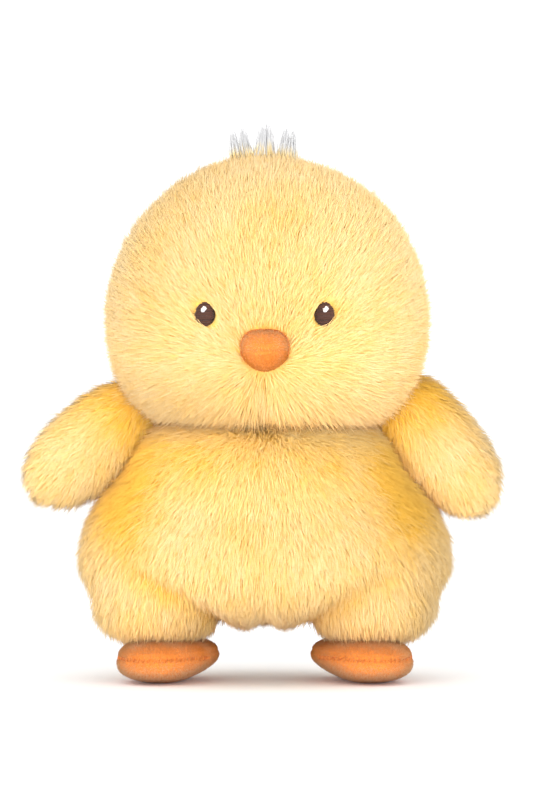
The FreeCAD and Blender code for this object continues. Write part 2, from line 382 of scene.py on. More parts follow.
def weld(name, forms, voxel):
    """One closed skin around several overlapping forms."""
    joined = bmesh.new()
    for item in forms:
        joined.from_mesh(item.data)
        bpy.data.objects.remove(item)
    return with_modifier(as_object(name, joined), "REMESH", mode="VOXEL", voxel_size=voxel)


def stuff(obj, seam, cap):
    """Blow the skin up by cloth simulation, its seam held, no point moving further than cap."""
    rest = points_of(obj)
    held = obj.vertex_groups.new(name="seam")
    for number in np.flatnonzero(seam(rest)):
        held.add([int(number)], 1.0, "REPLACE")
    cloth = obj.modifiers.new("stuffing", "CLOTH")
    cloth.settings.quality = 4
    cloth.settings.use_pressure = True
    cloth.settings.uniform_pressure_force = PRESSURE
    cloth.settings.effector_weights.gravity = 0
    cloth.settings.vertex_group_mass = held.name  # pinned points
    cloth.collision_settings.use_collision = False
    for number in range(1, SIM_FRAMES + 1):
        bpy.context.scene.frame_set(number)
    settle(obj)
    move = points_of(obj) - rest
    far = np.linalg.norm(move, axis=1, keepdims=True)
    set_points(obj, rest + move * np.minimum(1, cap / np.maximum(far, 1e-9)))
    bpy.context.scene.frame_set(1)
    with_modifier(obj, "SMOOTH", iterations=3, factor=0.5)
    return with_modifier(obj, "SUBSURF", levels=1)


def push(obj, depth):
    """Move every point of the skin along its normal by depth(points)."""
    points = points_of(obj)
    set_points(obj, points + normals_of(obj) * depth(points)[:, None])


def panel(name, skin, inside, thickness=FABRIC):
    """The part of a skin that inside(points) picks, as a closed shell of fabric."""
    piece = bmesh.new()
    piece.from_mesh(skin.data)
    centres = np.array([face.calc_center_median() for face in piece.faces])
    outside = [face for face, chosen in zip(piece.faces, inside(centres)) if not chosen]
    bmesh.ops.delete(piece, geom=outside, context="FACES")
    shell = as_object(name, piece)
    made = with_modifier(shell, "SOLIDIFY", thickness=thickness, offset=-1.0)
    made.data.shade_smooth()
    return made


def wad(name, skin, body, *nodes):
    """The filling, which reaches to just under the skin."""
    made = add_object(name, skin.data.copy())
    push(made, lambda points: np.full(len(points), -WADDING_DEPTH))
    made.data.shade_smooth()
    fit(made, body, "fibre_filling", "fibre_filling", *nodes)


def hit(skin, start, way):
    """The point and normal of the skin that a ray from start meets."""
    tree = BVHTree.FromObject(skin, bpy.context.evaluated_depsgraph_get())
    place, normal, _, _ = tree.ray_cast(Vector(start), Vector(way))
    return np.array(place), np.array(normal)


def slice_skin(skin, *planes):
    """New edges where the planes, each a point and a normal, cross the skin."""
    cut = bmesh.new()
    cut.from_mesh(skin.data)
    for point, normal in planes:
        everything = cut.verts[:] + cut.edges[:] + cut.faces[:]
        bmesh.ops.bisect_plane(cut, geom=everything, plane_co=point, plane_no=normal)
    cut.to_mesh(skin.data)
    cut.free()


def fit(piece, body, look, slot, *nodes):
    dress(piece, look)
    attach(piece, body)
    if nodes:
        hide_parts(*nodes)
    return piece


# === strands ===
def spun(name, rings, tip, up, tone, sides=3, shading=None):
    """Many tapered strands in one mesh. rings is a list of (centres, radii) from the foot upwards.
    shading, a normal for each strand, lights fine pile as the soft surface that it makes."""
    count, levels = len(tip), len(rings)
    stations = [centres for centres, _ in rings] + [tip]
    rows = []
    for level, (centres, radii) in enumerate(rings):
        axis = unit(stations[level + 1] - stations[max(level - 1, 0)])
        side = unit(np.cross(up, axis))
        lift = np.cross(axis, side)
        for corner in range(sides):
            angle = math.tau * corner / sides
            spoke = math.cos(angle) * side + math.sin(angle) * lift
            rows.append(centres + spoke * radii[:, None])
    rows.append(tip)
    points = np.stack(rows, axis=1)
    per_strand = points.shape[1]

    faces = [list(range(sides))[::-1]]
    for level in range(levels - 1):
        low, high = level * sides, (level + 1) * sides
        for k in range(sides):
            after = (k + 1) % sides
            faces.append([low + k, low + after, high + after, high + k])
    last = (levels - 1) * sides
    faces += [[last + k, last + (k + 1) % sides, per_strand - 1] for k in range(sides)]
    corners = np.array([corner for face in faces for corner in face])
    sizes = np.array([len(face) for face in faces])
    starts = np.cumsum(sizes) - sizes
    strand = np.arange(count)[:, None]
    loops = (strand * per_strand + corners).ravel()

    mesh = bpy.data.meshes.new(name)
    mesh.vertices.add(count * per_strand)
    mesh.vertices.foreach_set("co", points.astype(np.float32).ravel())
    mesh.loops.add(len(loops))
    mesh.loops.foreach_set("vertex_index", loops.astype(np.int32))
    mesh.polygons.add(count * len(faces))
    first = strand * len(corners) + starts
    mesh.polygons.foreach_set("loop_start", first.ravel().astype(np.int32))
    mesh.update(calc_edges=True)
    mesh.shade_smooth()
    if shading is not None:
        free = mesh.attributes.new("custom_normal", "FLOAT_VECTOR", "POINT")
        every_point = np.repeat(shading, per_strand, axis=0)
        free.data.foreach_set("vector", every_point.astype(np.float32).ravel())

    height = np.append(np.repeat(np.arange(levels) / levels, sides), 1.0)
    across = np.append(np.tile(np.linspace(-1, 1, sides), levels), 0.0) * 0.003
    place = np.empty((count, len(corners), 2), np.float32)
    place[..., 0] = np.clip(tone[:, None], 0.01, 0.99) + across[corners]
    place[..., 1] = height[corners] * 0.98 + 0.01
    mesh.uv_layers.new(name=BAKE_UV).data.foreach_set("uv", place.ravel())
    return add_object(name, mesh)


def scatter(skin, per_mm2, rng):
    """Random points spread evenly over a skin, with their normals."""
    mesh = skin.data
    mesh.calc_loop_triangles()
    corners = np.empty(len(mesh.loop_triangles) * 3, np.int32)
    mesh.loop_triangles.foreach_get("vertices", corners)
    corners = corners.reshape(-1, 3)
    points, normals = points_of(skin), normals_of(skin)
    a, b, c = (points[corners[:, k]] for k in range(3))
    area = np.linalg.norm(np.cross(b - a, c - a), axis=1) / 2
    running = np.cumsum(area)
    count = int(running[-1] / MM**2 * per_mm2)
    chosen = np.minimum(np.searchsorted(running, rng.random(count) * running[-1]), len(area) - 1)
    u, v = rng.random(count), rng.random(count)
    over = u + v > 1
    u[over], v[over] = 1 - u[over], 1 - v[over]
    share = np.stack([1 - u - v, u, v], axis=1)[..., None]
    mine = corners[chosen]
    return (points[mine] * share).sum(1), unit((normals[mine] * share).sum(1))


def locks_of(points, rng):
    """Which lock each point belongs to, and the lock's middle."""
    loose = points + rng.normal(scale=0.22 * LOCK_SIZE, size=points.shape)
    for wave in range(3):
        loose[:, wave] += 0.4 * LOCK_SIZE * ripple(points, 3 * LOCK_SIZE, 50 + wave)
    cells = np.floor(loose / LOCK_SIZE).astype(np.int64)
    _, lock = np.unique(cells, axis=0, return_inverse=True)
    lock = lock.ravel()
    members = np.bincount(lock)
    middle = np.stack([np.bincount(lock, points[:, k]) / members for k in range(3)], axis=1)
    return lock, middle[lock]


def comb(points, normals, nap, tone, stretch, rng, coat):
    """Strands from points, laid along the nap. Returns a dict of arrays, one row a strand."""
    count = len(points)
    lock, middle = locks_of(points, rng)
    locks = lock.max() + 1
    along = nap - (nap * normals).sum(1, keepdims=True) * normals
    along = unit(along + 1e-6)
    across = np.cross(normals, along)
    swing = rng.normal(0, LOCK_SWING, locks)[lock] + rng.normal(0, STRAND_SWING, count)
    swing = np.radians(swing)
    lay = along * np.cos(swing)[:, None] + across * np.sin(swing)[:, None]
    stand = rng.normal(0, STAND_SPREAD, locks)[lock] + rng.normal(0, STAND_SPREAD, count)
    low = np.radians(np.clip(FOOT_STAND + stand, *FOOT_STAND_RANGE))
    high = np.radians(np.clip(TIP_STAND + stand, *TIP_STAND_RANGE))
    length = coat["length"] * stretch * rng.normal(1, SIZE_SPREAD, count)
    half = length[:, None] / 2
    root = points - normals * ROOT_DEPTH
    pull = (middle - points) * coat["pull"]
    bend = root + half * (lay * np.cos(low)[:, None] + normals * np.sin(low)[:, None]) + pull * 0.4
    tip = bend + half * (lay * np.cos(high)[:, None] + normals * np.sin(high)[:, None]) + pull * 0.6
    tip[:, 2] -= SAG * length
    shade = tone + coat["shade"] + rng.normal(0, LOCK_SHADE, locks)[lock]
    shade += rng.normal(0, STRAND_SHADE, count)
    width = coat["width"] * rng.normal(1, SIZE_SPREAD, count)
    return {"root": root, "bend": bend, "tip": tip, "up": normals, "width": width, "tone": shade}


def pile(skin, nap, tone, seed, stretch=lambda points: 1.0):
    """The coats of a whole skin: for each, a dict of arrays with one row a strand. nap, tone and
    stretch give the way, the colour and the relative length of the strands at points."""
    rng = np.random.default_rng(seed)
    coats = {}
    for name, coat in COATS.items():
        points, normals = scatter(skin, coat["per_mm2"], rng)
        laid = nap(points, normals)
        coats[name] = comb(points, normals, laid, tone(points), stretch(points), rng, coat)
    return coats


def chosen(fur, wanted):
    """The strands of every coat that wanted(coat) picks."""
    return {name: {key: rows[wanted(coat)] for key, rows in coat.items()}
            for name, coat in fur.items()}


def rooted(inside):
    """A choice of strands by the place of their roots."""
    return lambda coat: inside(coat["root"])


def plant(name, fur, body):
    """Pieces of pile, none of more than TRIANGLES_PER_PIECE triangles, lowest strands first."""
    for coat_name, coat in fur.items():
        bent = COATS[coat_name]["bent"]
        order = np.argsort(coat["root"][:, 2], kind="stable")
        each = TRIANGLES_BENT if bent else TRIANGLES_STRAIGHT
        groups = max(1, math.ceil(len(order) * each / TRIANGLES_PER_PIECE))
        for number, rows in enumerate(np.array_split(order, groups), start=1):
            part = {key: values[rows] for key, values in coat.items()}
            rings = [(part["root"], part["width"] * 0.5)]
            if bent:
                rings.append((part["bend"], part["width"] * 0.5))
            title = f"{name}_{coat_name}" + (f"_{number}" if groups > 1 else "")
            made = spun(title, rings, part["tip"], part["up"], part["tone"], shading=part["up"])
            fit(made, body, "yellow_plush", "yellow_plush")


def plush(name, skin, inside, fur, body, fill, *nodes):
    """A panel of pile fabric and the strands on it. {} in name stands for skin or pile."""
    cloth = panel(name.format("skin"), skin, inside)
    fit(cloth, body, "plush_ground", "yellow_plush", *nodes)
    plant(name.format("pile"), chosen(fur, rooted(inside)), body)


def velour(name, skin, inside, lean, tone, seed, body, fill, *nodes):
    """A panel of velour, whose short dense pile leans along lean. {} in name as for plush."""
    cloth = panel(name.format("skin"), skin, inside, VELOUR_FABRIC)
    fit(cloth, body, "velour_ground", "orange_velour", *nodes)
    rng = np.random.default_rng(seed)
    points, normals = scatter(skin, VELOUR_PER_MM2, rng)
    mine = inside(points)
    points, normals = points[mine], normals[mine]
    lean = lean + rng.normal(0, VELOUR_LEAN_SPREAD, points.shape)
    lean -= (lean * normals).sum(1, keepdims=True) * normals
    count = len(points)
    length = VELOUR_LENGTH * rng.normal(1, SIZE_SPREAD, count)
    tip = points + (normals * 0.8 + lean * 0.55) * length[:, None]
    width = VELOUR_WIDTH / 2 * rng.normal(1, SIZE_SPREAD, count)
    shade = tone(points) + rng.normal(0, VELOUR_SHADE, count)
    foot = points - normals * ROOT_DEPTH / 2
    made = spun(name.format("velour"), [(foot, width)], tip, normals, shade, shading=normals)
    fit(made, body, "orange_velour", "orange_velour")


def threads(name, paths, up, radius, tone, body, look, slot):
    """Sewing thread along polylines, given as an array of shape (paths, points, 3)."""
    count, stations = paths.shape[:2]
    swell = np.full(stations - 1, radius)
    swell[0] *= 0.55
    rings = [(paths[:, k], np.full(count, swell[k])) for k in range(stations - 1)]
    made = spun(name, rings, paths[:, -1], up, tone, sides=6)
    return fit(made, body, look, slot)


def sew(name, skin, centre, axis, angles, slant, body, seed):
    """Small stitches over a seam that runs round centre, across axis. slant turns them from
    across the seam, at 0, to along it, at 1."""
    rng = np.random.default_rng(seed)
    tree = BVHTree.FromObject(skin, bpy.context.evaluated_depsgraph_get())
    flat = {"Z": lambda a: (math.cos(a), math.sin(a), 0),
            "Y": lambda a: (math.cos(a), 0, math.sin(a))}[axis]
    share = np.linspace(-1, 1, 5)[:, None]
    paths, normals = [], []
    for angle in angles:
        spoke, step = Vector(flat(angle)), Vector(flat(angle + math.pi / 2))
        place, normal, _, _ = tree.ray_cast(Vector(centre) + spoke * 0.1, -spoke)
        across = normal.cross(step).normalized()
        lie = np.array(across.lerp(step, slant + rng.normal(0, 0.1)).normalized())
        lift = np.array(normal) * (STITCH_SINK + STITCH_ARCH * (1 - share**2))
        reach = STITCH_HALF_LENGTH + rng.normal(0, 0.15) * MM
        paths.append(np.array(place) + lie * share * reach + lift)
        normals.append(normal)
    threads(name, np.array(paths), np.array(normals), STITCH_RADIUS,
            rng.uniform(0, 1, len(paths)), body, "seam_thread", "orange_velour")


# === head ===
HEAD_PANELS = [f"{face}_panel_{side}" for face in ("face", "head_back") for side in SIDES]
HEAD_WIDEST = 0.378
HEAD_POWERS = (1.97, 2.7)
HEAD_NARROWER, HEAD_LOWER, HEAD_FULLER_RIGHT = 0.9 * MM, 2.5 * MM, 2 * MM
EYE_HALF_WIDTH, EYE_HALF_HEIGHT = 4.7 * MM, 5.3 * MM
BEAK_BARE_HALF_WIDTH, BEAK_BARE_HALF_HEIGHT = 10.2 * MM, 9.0 * MM
EYE_FRINGE, BEAK_FRINGE = 0.86, 0.95
CHIN_PILE_LONGER = 0.55

head_low, head_high = span(*HEAD_PANELS)
head_centre = (head_low + head_high) / 2
head_centre[2] = head_low[2] + HEAD_WIDEST * (head_high[2] - head_low[2])
side_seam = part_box("face_panel_left")[1].y
beak_low, beak_high = span("beak_upper", "beak_lower")
beak_centre = (beak_low + beak_high) / 2
beak_centre[1] = head_low[1] + 1 * MM
beak_root = np.array([0.0, head_low[1] + 2 * MM, beak_low[2]])
eyes = {side: sum(span(f"eye_{side}")) / 2 for side in SIDES}


def middle_seam(points):
    return np.abs(points[:, 0]) < SEAM_HALF


def face_distance(points, centre):
    """Distance from centre, seen from the front."""
    return np.hypot(points[:, 0] - centre[0], points[:, 2] - centre[2])


def head_seams(points):
    return middle_seam(points) | (np.abs(points[:, 1] - side_seam) < SEAM_HALF)


def face_relief(points):
    """Hollows at the eyes, the beak and the parting under it, and a fuller right side."""
    front = points[:, 1] < head_centre[1]
    depth = np.zeros(len(points))
    for eye in eyes.values():
        depth -= 2.2 * MM * bell(face_distance(points, eye), 9 * MM)
    below = ease(-points[:, 2], -beak_centre[2], -beak_low[2] + 6 * MM)
    depth -= 2.4 * MM * bell(points[:, 0], 3.2 * MM) * below
    depth -= 1.2 * MM * bell(face_distance(points, beak_centre), 14 * MM)
    fuller = HEAD_FULLER_RIGHT * ease(points[:, 0], 15 * MM, 55 * MM)
    return depth * front + fuller


def head_nap(points, normals):
    """Away from the root of the beak on the face, downwards on the back panels."""
    away = points - beak_root
    away[:, 0] *= np.where(away[:, 2] > 0, 0.55, 1.0)
    parted = 2.5 * MM * bell(points[:, 0], 5 * MM) * (away[:, 2] < 0)
    away[:, 0] += np.sign(points[:, 0]) * parted
    back = ease(points[:, 1], side_seam, side_seam + 14 * MM)[:, None]
    return unit(away) * (1 - back) + DOWN * back


def head_tone(points):
    """Paler towards the crown, which is painted light from above, and deeper round the eyes and the
    beak, which is painted shade in their hollows.
    """
    tone = 0.70 + 0.07 * ripple(points, 32 * MM, 3) + 0.05 * ripple(points, 9 * MM, 4)
    # painted light: paler towards the crown, as if lit from above
    tone += 0.08 * ease(points[:, 2], head_centre[2], head_high[2])
    # painted shade: deeper in the hollows round the beak and the eyes, on the front only
    painted_shade = 0.12 * bell(face_distance(points, beak_centre), 15 * MM)
    for eye in eyes.values():
        painted_shade += 0.2 * bell(face_distance(points, eye), 8 * MM)
    return tone - painted_shade * (points[:, 1] < head_centre[1])


def head_stretch(points):
    """Longer pile along the lower edge of the face."""
    low = ease(-points[:, 2], -head_low[2] - 22 * MM, -head_low[2] - 4 * MM)
    ahead = 1 - ease(points[:, 1], head_centre[1] - 10 * MM, head_centre[1] + 20 * MM)
    return 1 + CHIN_PILE_LONGER * low * ahead


def inside_oval(points, centre, half_width, half_height):
    across = (points[:, 0] - centre[0]) / half_width
    up = (points[:, 2] - centre[2]) / half_height
    return (across**2 + up**2 < 1) & (points[:, 1] < head_centre[1] - 20 * MM)


def shorn(centre, half_width, half_height, fringe):
    """A choice of the strands that neither grow in an oval on the face nor hang into its middle."""
    tip_room = (half_width * fringe, half_height * fringe)

    def wanted(coat):
        return ~(inside_oval(coat["root"], centre, half_width, half_height)
                 | inside_oval(coat["bend"], centre, *tip_room)
                 | inside_oval(coat["tip"], centre, *tip_room))
    return wanted


def make_head():
    half = (head_high - head_low) / 2
    rise = head_high[2] - head_centre[2] - SLACK
    drop = head_centre[2] - head_low[2] + HEAD_LOWER
    skin = form("head_skin", head_centre, half[0] - HEAD_NARROWER, half[1] - SLACK, rise, drop,
                HEAD_POWERS)
    skin = weld("head_skin", [skin], PLUSH_VOXEL)
    stuff(skin, head_seams, PLUSH_SWELL)
    push(skin, face_relief)
    fur = pile(skin, head_nap, head_tone, 11, head_stretch)
    wad("head_wadding", skin, "head", "head_filling")
    for eye in eyes.values():
        fur = chosen(fur, shorn(eye, EYE_HALF_WIDTH, EYE_HALF_HEIGHT, EYE_FRINGE))
    bare = shorn(beak_centre, BEAK_BARE_HALF_WIDTH, BEAK_BARE_HALF_HEIGHT, BEAK_FRINGE)
    fur = chosen(fur, bare)
    slice_skin(skin, ((0, 0, 0), (1, 0, 0)), ((0, side_seam, 0), (0, 1, 0)))
    for side, sign in SIDES.items():
        for face, ahead in (("face", True), ("head_back", False)):
            def inside(points, sign=sign, ahead=ahead):
                return (points[:, 0] * sign > 0) & ((points[:, 1] < side_seam) == ahead)
            plush(face + "_{}_" + side, skin, inside, fur, "head", 0.8, f"{face}_panel_{side}")
    return skin


# === eyes ===
EYE_RISE, EYE_PITCH, EYE_THREAD = 2.6 * MM, 0.42 * MM, 0.27 * MM
EYE_LIFT, EYE_BED = 1.2 * MM, 0.97
GLINT_HALF_WIDTH, GLINT_HALF_HEIGHT, GLINT_LIFT = 1.1 * MM, 1.25 * MM, 2.3 * MM
GLINT_RISE, GLINT_PITCH, GLINT_THREAD = 0.6 * MM, 0.3 * MM, 0.2 * MM


def stitched_dome(name, place, normal, half_width, half_height, rise, pitch, radius, look,
                  seed):
    """Satin stitch over a padded oval: level rows of thread, a little ragged at their ends."""
    rng = np.random.default_rng(seed)
    rows = int(2 * half_height / pitch)
    stations = 9
    across_axis = unit(np.cross(np.array([0.0, 0.0, 1.0]), normal))
    up_axis = np.cross(normal, across_axis)
    level = (np.arange(rows) + 0.5) / rows * 2 - 1
    reach = np.sqrt(1 - level**2) * half_width
    start = -reach + rng.normal(0, 0.22 * MM, rows)
    end = reach + rng.normal(0, 0.22 * MM, rows)
    share = np.linspace(0, 1, stations)
    x = start[:, None] + (end - start)[:, None] * share
    sway = 0.25 * MM * np.sin(x / half_width * 1.3 + rng.uniform(0, 1, (rows, 1)))
    z = level[:, None] * half_height + sway
    dome = np.clip(1 - (x / half_width / 1.08) ** 2 - (level[:, None] / 1.06) ** 2, 0, 1) ** 0.5
    paths = place + x[..., None] * across_axis + z[..., None] * up_axis
    lift = dome * rise + rng.normal(0, 0.05 * MM, (rows, 1))
    paths = paths + lift[..., None] * normal
    up = np.broadcast_to(normal, (rows, 3))
    return threads(name, paths, up, radius, rng.uniform(0, 1, rows), "head", look, look)


def make_eyes(skin):
    for side in SIDES:
        eye = eyes[side]
        place, normal = hit(skin, (eye[0], -1, eye[2]), (0, 1, 0))
        base = place + normal * EYE_LIFT
        bed = form(f"eye_bed_{side}", (0, 0, 0), EYE_HALF_WIDTH * EYE_BED,
                   EYE_HALF_HEIGHT * EYE_BED, 2.4 * MM, 1.5 * MM, detail=4)
        facing = Vector(normal).to_track_quat("Z", "Y").to_matrix().to_4x4()
        bed.data.transform(Matrix.Translation(base) @ facing)
        bed.data.shade_smooth()
        fit(bed, "head", "eye_thread", "eye_thread")
        thread = stitched_dome(f"eye_thread_{side}", base, normal, EYE_HALF_WIDTH, EYE_HALF_HEIGHT,
                               EYE_RISE, EYE_PITCH, EYE_THREAD, "eye_thread", 21)
        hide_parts(f"eye_{side}")
        glint_centre = sum(span(f"eye_glint_{side}")) / 2
        above = np.array([0, 0, glint_centre[2] - eye[2]])
        glint = stitched_dome(f"glint_thread_{side}", base + above + normal * GLINT_LIFT, normal,
                              GLINT_HALF_WIDTH, GLINT_HALF_HEIGHT, GLINT_RISE, GLINT_PITCH,
                              GLINT_THREAD, "glint_thread", 22)
        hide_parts(f"eye_glint_{side}")


# === beak ===
BEAK_REACH = 12 * MM
BEAK_POWERS = (2.6, 1.85)
BEAK_NARROWER, BEAK_TOP_LOWER, BEAK_FOOT_HIGHER = 0.3 * MM, 0.5 * MM, 0.2 * MM
BEAK_NAP = [0.0, 0.3, -0.6]


def wedge(points):
    """Draw the beak's form in below, and give it a ridge and a flatter top."""
    local = points - beak_centre
    x, y, z = local.T
    below = np.where(z < 0, 1 - 0.08 * (z / (beak_low[2] - beak_centre[2])) ** 2, 1.0)
    ridge = bell(z, 4.5 * MM) * np.clip(-y / (9 * MM), 0, 1)
    local[:, 0] = x * below
    local[:, 1] = y - 1.0 * MM * ridge
    local[:, 2] = z - 0.6 * MM * bell(x, 9 * MM) * (z > 0) * np.abs(z) / (9 * MM)
    return beak_centre + local


def beak_tone(points):
    """Darker below the seam: painted shade on the lower half, which faces down."""
    top = ease(points[:, 2], beak_centre[2] - 3 * MM, beak_centre[2] + 3 * MM)
    return 0.02 + 0.46 * top - 0.1 * ripple(points, 7 * MM, 5)


def make_beak():
    half = (beak_high - beak_low) / 2
    level = beak_centre[2]
    skin = form("beak_skin", beak_centre * [0, 1, 1], half[0] - BEAK_NARROWER, BEAK_REACH,
                half[2] - BEAK_TOP_LOWER, half[2] - BEAK_FOOT_HIGHER, BEAK_POWERS)
    skin = weld("beak_skin", [skin], 1.4 * MM)
    set_points(skin, wedge(points_of(skin)))
    stuff(skin, lambda points: np.abs(points[:, 2] - level) < 0.9 * MM, 0.6 * MM)
    push(skin, lambda points: -0.35 * MM * bell(points[:, 2] - level, 0.9 * MM))
    seat = np.array([0, head_low[1] - 1.5 * MM, level])
    sew("beak_seam", skin, seat, "Y", np.radians(np.arange(-12, 208, 7)), 0.7, "head", 33)
    slice_skin(skin, ((0, 0, level), (0, 0, 1)))
    halves = {"upper": lambda points: points[:, 2] > level,
              "lower": lambda points: points[:, 2] <= level}
    for number, (name, inside) in enumerate(halves.items()):
        nodes = [f"beak_{name}"] + (["beak_filling"] if name == "upper" else [])
        velour("beak_{}_" + name, skin, inside, BEAK_NAP, beak_tone, 31 + number, "head", 0.9,
               *nodes)
    bpy.data.objects.remove(skin)


# === body ===
BODY_PANELS = [f"body_{face}_panel_{side}" for face in ("front", "back") for side in SIDES]
BODY_WIDEST = 0.32
BELLY_WIDER, BELLY_RISE, BELLY_DROP, BELLY_POWERS = 0.8 * MM, 66 * MM, 26 * MM, (1.8, 2.3)
CHEST_LIFT, CHEST_HALF_WIDTH, CHEST_HALF_DEPTH = 32 * MM, 61 * MM, 52 * MM
CHEST_HALF_HEIGHT, CHEST_POWERS = 36 * MM, (2.5, 2.0)
LEG_HALF = np.array([28, 34, 31]) * MM
LEG_LEVEL, LEG_BACK, LEG_DROP, LEG_POWERS = 44 * MM, -5 * MM, 22.5 * MM, (2.2, 3.2)
CREASE_INNER, CREASE_LEVEL, CREASE_SLOPE, CREASE_SPAN = 13 * MM, 24 * MM, 0.95, 34 * MM
CREASE_DEPTH, CREASE_WIDTH, RIGHT_CREASE = 3.6 * MM, 4 * MM, 0.6
SHOULDER_ROUNDING = 6 * MM
NAP_FAN = 79 * MM

body_low, body_high = span(*BODY_PANELS)
belly_centre = (body_low + body_high) / 2
belly_centre[2] = body_low[2] + BODY_WIDEST * (body_high[2] - body_low[2])
leg_centre = {}
for side, sign in SIDES.items():
    leg_low, leg_high = span(f"leg_panel_{side}")
    outer = leg_low[0] if sign < 0 else leg_high[0]
    leg_centre[side] = np.array([outer - sign * LEG_HALF[0], LEG_BACK, LEG_LEVEL])
neck_centre = np.array([0, head_centre[1] - 20 * MM, body_high[2] + 8 * MM])


def above_crease(points):
    """Height over the slanting crease where the legs are sewn on, which rises to the sides."""
    along = np.abs(points[:, 0]) - CREASE_INNER
    fold = CREASE_LEVEL + CREASE_SLOPE * CREASE_SPAN * np.tanh(along / CREASE_SPAN)
    return (points[:, 2] - fold) / math.hypot(1, CREASE_SLOPE)


def in_leg(points, side):
    """True on the leg, below the crease where it is sewn to the belly."""
    out = points[:, 0] * SIDES[side]
    return (out > CREASE_INNER) & (above_crease(points) < 0)


def body_nap(points, normals):
    """Radial from the neck on the chest, straight down further below and on the back."""
    away = unit(points - neck_centre)
    lower = ease(-points[:, 2], -body_high[2] + 14 * MM, -body_low[2] - 22 * MM)
    back = ease(points[:, 1], side_seam - 10 * MM, side_seam + 10 * MM)
    down = np.maximum(lower * 0.9, back)[:, None]
    straight = unit(DOWN + np.outer(points[:, 0] / NAP_FAN, [0.18, 0, 0]))
    return away * (1 - down) + straight * down


def body_tone(points):
    """Deeper under the chin, beside the wings and in the creases of the legs: painted shade where
    the head, the wings and the legs shade the body.
    """
    tone = 0.66 + 0.07 * ripple(points, 30 * MM, 7) + 0.05 * ripple(points, 9 * MM, 8)
    # painted shade under the overhang of the head
    tone -= 0.30 * bell(points[:, 2] - body_high[2] + 14 * MM, 14 * MM)
    # painted shade beside the wings, fainter towards the back
    under_wing_shade = bell(np.abs(points[:, 0]) - 60 * MM, 14 * MM)
    under_wing_shade *= bell(points[:, 2] - 92 * MM, 24 * MM)
    under_wing_shade *= 1 - 0.65 * ease(points[:, 1], -5 * MM, 25 * MM)
    # both painted shade: beside the wings and in the leg creases
    return tone - under_wing_shade - 0.35 * leg_crease(points)


def leg_crease(points):
    """1 along the front creases of the legs, 0 away from them. The right one is fainter."""
    out = np.abs(points[:, 0])
    reach = ease(out, CREASE_INNER - 6 * MM, CREASE_INNER + 8 * MM)
    reach *= 1 - ease(out, 50 * MM, 66 * MM)
    front = 1 - ease(points[:, 1], -10 * MM, 20 * MM)
    strength = np.where(points[:, 0] < 0, 1.0, RIGHT_CREASE)
    return bell(above_crease(points), CREASE_WIDTH) * reach * front * strength


def body_seams(points):
    low = points[:, 2] < body_high[2] - 16 * MM
    return middle_seam(points) & low | (np.abs(points[:, 1] - side_seam) < 2.4 * MM)


def body_relief(points):
    """The middle seam of the chest, and the soft creases where the legs are sewn on."""
    low = 1 - ease(points[:, 2], belly_centre[2], body_high[2] - 16 * MM)
    parting = bell(points[:, 0], 3 * MM) * (points[:, 1] < 0) * low
    return -1.2 * MM * parting - CREASE_DEPTH * leg_crease(points)


def make_body():
    half = (body_high - body_low) / 2
    forms = [
        form("belly", belly_centre, half[0] + BELLY_WIDER, half[1] - SLACK, BELLY_RISE - SLACK,
             BELLY_DROP - SLACK, BELLY_POWERS),
        form("chest", belly_centre + [0, 0, CHEST_LIFT], CHEST_HALF_WIDTH - SLACK,
             CHEST_HALF_DEPTH, CHEST_HALF_HEIGHT, CHEST_HALF_HEIGHT, CHEST_POWERS),
    ]
    for side in SIDES:
        forms.append(form("leg", leg_centre[side], *(LEG_HALF - SLACK), LEG_DROP, LEG_POWERS))
    skin = weld("body_skin", forms, PLUSH_VOXEL)
    points = points_of(skin)
    rounded_from = body_high[2] - 1 * MM - SHOULDER_ROUNDING
    over = np.maximum(points[:, 2] - rounded_from, 0)
    points[:, 2] -= over - SHOULDER_ROUNDING * np.tanh(over / SHOULDER_ROUNDING)
    set_points(skin, points)
    stuff(skin, body_seams, PLUSH_SWELL)
    push(skin, body_relief)
    wad("body_wadding", skin, "body", "body_filling", "leg_filling_left", "leg_filling_right")
    fur = pile(skin, body_nap, body_tone, 12)
    slice_skin(skin, ((0, 0, 0), (1, 0, 0)), ((0, side_seam, 0), (0, 1, 0)))
    for side, sign in SIDES.items():
        def leg(points, side=side):
            return in_leg(points, side)
        plush("leg_{}_" + side, skin, leg, fur, "body", 0.8, f"leg_panel_{side}")
        for face, ahead in (("front", True), ("back", False)):
            def inside(points, sign=sign, ahead=ahead, leg=leg):
                mine = (points[:, 0] * sign > 0) & ((points[:, 1] < side_seam) == ahead)
                return mine & ~leg(points)
            plush(f"body_{face}" + "_{}_" + side, skin, inside, fur, "body", 0.75,
                  f"body_{face}_panel_{side}")
    return skin


# === wings ===
WING_HALF_LENGTH = {"left": 35 * MM, "right": 37 * MM}
WING_HALF_BREADTH, WING_HALF_DEPTH = 18.4 * MM, 13.5 * MM
WING_DROOP = {"left": math.radians(40), "right": math.radians(51)}
WING_INWARD, WING_FORWARD, WING_LIFT = 3.5 * MM, 1 * MM, 4.5 * MM
WING_POWERS, WING_VOXEL, WING_SWELL = (2.2, 2.35), 4 * MM, 2.2 * MM
WING_SEAM_BEHIND = 1.5 * MM


